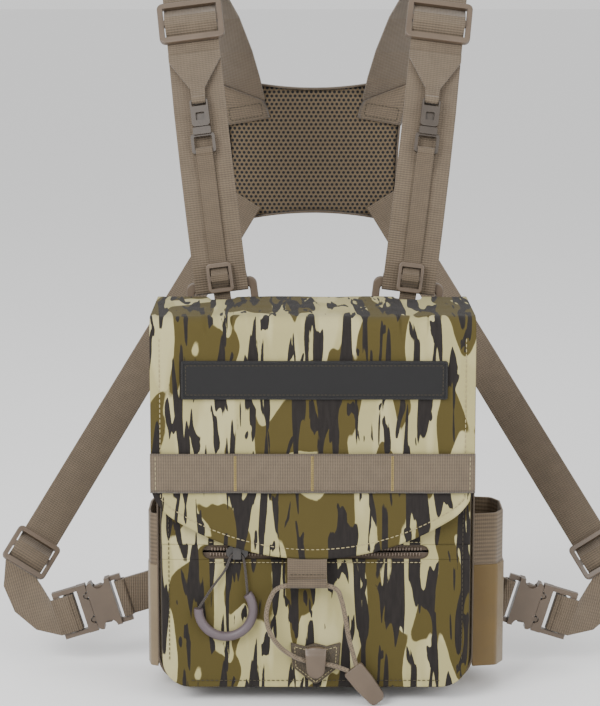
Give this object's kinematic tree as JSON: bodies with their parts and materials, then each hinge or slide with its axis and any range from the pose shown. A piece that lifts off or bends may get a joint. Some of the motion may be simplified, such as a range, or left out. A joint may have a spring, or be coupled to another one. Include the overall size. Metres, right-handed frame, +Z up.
{
  "type": "binocular harness pack",
  "caption": "Flap-top chest pack for binoculars on a four-strap harness, with a zip pocket, side pockets, elastic-loop closure, side-release buckles and a mesh yoke pad.",
  "frame": {"origin": "centre of the pack's rear face, which lies on the wearer's chest", "axes": "+Y out of the rear face towards the wearer, +Z up, +X to the right as seen from the front"},
  "size_m": [0.424, 0.3001, 0.4514],
  "materials": {
    "black_fabric": "black woven patch",
    "camo_fabric": "printed woven polyester",
    "cord": "braided elastic cord",
    "dark_cord": "braided cord",
    "dark_mesh": "open knit mesh",
    "elastic": "ribbed elastic band",
    "foam": "closed-cell foam",
    "grip_plastic": "soft tube",
    "leather": "stitched leather-like patch",
    "metal": "painted die-cast slider",
    "plastic": "moulded nylon, fine grain",
    "pocket_fabric": "coyote ripstop",
    "spacer_mesh": "air mesh with oval holes",
    "taupe_fabric": "plain woven polyester",
    "webbing": "flat woven webbing",
    "zipper": "moulded coil"
  },
  "bodies": {
    "pack": {"chest_mesh": "spacer_mesh", "back_cover": "taupe_fabric", "back_foam": "foam", "back_lining": "taupe_fabric", "side_wall": "taupe_fabric", "base_foam": "foam", "front_wall": "taupe_fabric", "seam_bindings": "taupe_fabric", "pocket_gusset": "dark_mesh", "pocket_panel": "camo_fabric", "zipper_tapes": "dark_cord", "zipper_teeth": "zipper", "hook_patch": "leather", "closure_hook": "plastic", "side_pocket_right": "pocket_fabric", "side_pocket_left": "taupe_fabric", "pocket_elastic_right": "elastic", "pocket_elastic_left": "elastic", "top_rings": "plastic", "ring_tabs": "webbing", "shoulder_strap_right": "webbing", "shoulder_strap_left": "webbing", "shoulder_sliders": "plastic", "yoke_pad": "spacer_mesh", "yoke_backing": "taupe_fabric", "yoke_binding": "webbing", "yoke_strap_right": "webbing", "yoke_strap_left": "webbing", "tether_buckle_females": "plastic", "tether_top_right": "webbing", "tether_top_left": "webbing", "tether_sliders": "plastic", "side_strap_right": "webbing", "side_strap_left": "webbing", "side_sliders": "plastic", "buckle_stubs": "webbing", "buckle_females": "plastic"},
    "lid": {"lid_top": "camo_fabric", "lid_bead": "camo_fabric"},
    "flap": {"flap_front": "camo_fabric", "molle_band": "webbing", "name_patch": "black_fabric", "closure_tab": "webbing"},
    "closure": {"closure_cord": "cord", "cord_pull": "plastic"},
    "zip_slider": {"zip_slider": "metal"},
    "zip_pull": {"zip_pull_cord": "dark_cord", "zip_pull_grip": "grip_plastic"},
    "buckle_right": {"buckle_male_right": "plastic", "side_loop_right": "webbing"},
    "buckle_left": {"buckle_male_left": "plastic", "side_loop_left": "webbing"},
    "prong_upper_right": {"prong_upper_right": "plastic"},
    "prong_lower_right": {"prong_lower_right": "plastic"},
    "prong_upper_left": {"prong_upper_left": "plastic"},
    "prong_lower_left": {"prong_lower_left": "plastic"},
    "tether_clip_right": {"tether_buckle_male_right": "plastic", "tether_strap_right": "webbing"},
    "tether_clip_left": {"tether_buckle_male_left": "plastic", "tether_strap_left": "webbing"}
  },
  "joints": [
    {"name": "lid_hinge", "type": "hinge", "parent": "pack", "child": "lid", "pos_m": [0, -0.004, 0.1179], "axis": [-1, 0, 0], "range_deg": [0, 35]},
    {"name": "flap_fold", "type": "hinge", "parent": "lid", "child": "flap", "pos_m": [0, -0.099, 0.1198], "axis": [-1, 0, 0], "range_deg": [0, 100]},
    {"name": "closure_swing", "type": "hinge", "parent": "flap", "child": "closure", "pos_m": [0, -0.10285, -0.04925], "axis": [-1, 0, 0], "range_deg": [0, 90], "deforming": ["closure_cord"]},
    {"name": "zip_slide", "type": "slide", "parent": "pack", "child": "zip_slider", "axis": [1, 0, 0], "range_m": [0, 0.112]},
    {"name": "zip_pull_swing", "type": "hinge", "parent": "zip_slider", "child": "zip_pull", "pos_m": [0, -0.09525, -0.03135], "axis": [-1, 0, 0], "range_deg": [0, 35]},
    {"name": "right_buckle_release", "type": "slide", "parent": "pack", "child": "buckle_right", "axis": [0.9563, 0, -0.2924], "range_m": [0, 0.024], "deforming": ["side_loop_right"]},
    {"name": "left_buckle_release", "type": "slide", "parent": "pack", "child": "buckle_left", "axis": [-0.9563, 0, -0.2924], "range_m": [0, 0.024], "deforming": ["side_loop_left"]},
    {"name": "right_upper_prong", "type": "hinge", "parent": "buckle_right", "child": "prong_upper_right", "pos_m": [0.15397, -0.008, -0.08236], "axis": [0, -1, 0], "range_deg": [0, 12], "stiffness_Nm_per_rad": 0.02},
    {"name": "right_lower_prong", "type": "hinge", "parent": "buckle_right", "child": "prong_lower_right", "pos_m": [0.149, -0.008, -0.09861], "axis": [0, 1, 0], "range_deg": [0, 12], "stiffness_Nm_per_rad": 0.02},
    {"name": "left_upper_prong", "type": "hinge", "parent": "buckle_left", "child": "prong_upper_left", "pos_m": [-0.15397, -0.008, -0.08236], "axis": [0, 1, 0], "range_deg": [0, 12], "stiffness_Nm_per_rad": 0.02},
    {"name": "left_lower_prong", "type": "hinge", "parent": "buckle_left", "child": "prong_lower_left", "pos_m": [-0.149, -0.008, -0.09861], "axis": [0, -1, 0], "range_deg": [0, 12], "stiffness_Nm_per_rad": 0.02},
    {"name": "right_tether_release", "type": "slide", "parent": "pack", "child": "tether_clip_right", "axis": [-0.1178, -0.342, -0.9323], "range_m": [0, 0.013], "deforming": ["tether_strap_right"]},
    {"name": "left_tether_release", "type": "slide", "parent": "pack", "child": "tether_clip_left", "axis": [0.1178, -0.342, -0.9323], "range_m": [0, 0.013], "deforming": ["tether_strap_left"]}
  ],
  "couplings": [
    {"joint": "right_lower_prong", "follows": "right_upper_prong", "ratio": 1},
    {"joint": "left_lower_prong", "follows": "left_upper_prong", "ratio": 1}
  ]
}
